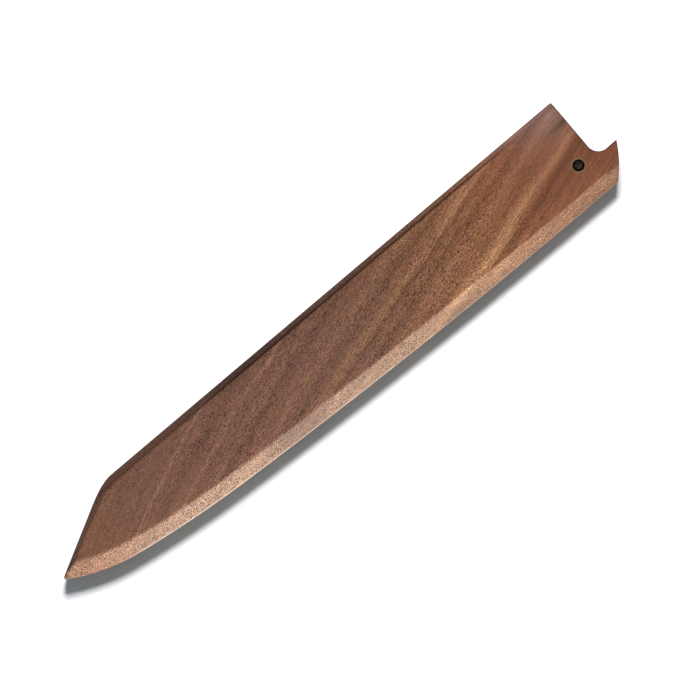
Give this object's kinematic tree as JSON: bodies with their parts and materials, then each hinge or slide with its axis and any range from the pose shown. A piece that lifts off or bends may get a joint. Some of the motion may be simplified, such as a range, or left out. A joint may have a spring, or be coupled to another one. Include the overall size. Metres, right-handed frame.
{
  "type": "knife blade guard",
  "caption": "Flat wooden sheath for an angled-tip slicing knife, with a bevelled edge side, a notched mouth with a horn, and a removable locking peg.",
  "frame": {"origin": "centre of the guard's plan box, on the back face that it lies on", "axes": "+X along the spine towards the mouth, +Y towards the spine side, -Y towards the edge side, +Z out of the front face"},
  "size_m": [0.3008, 0.0446, 0.014],
  "materials": {
    "walnut_front": "oiled walnut, satin",
    "walnut_back": "oiled walnut, satin",
    "ebony_peg": "dark turned hardwood, satin"
  },
  "bodies": {
    "sheath": {"front_half": "walnut_front", "back_half": "walnut_back"},
    "peg": {"locking_peg": "ebony_peg"}
  },
  "joints": [
    {"name": "peg_slide", "type": "slide", "parent": "sheath", "child": "peg", "axis": [0, 0, 1], "range_m": [0, 0.016]}
  ]
}
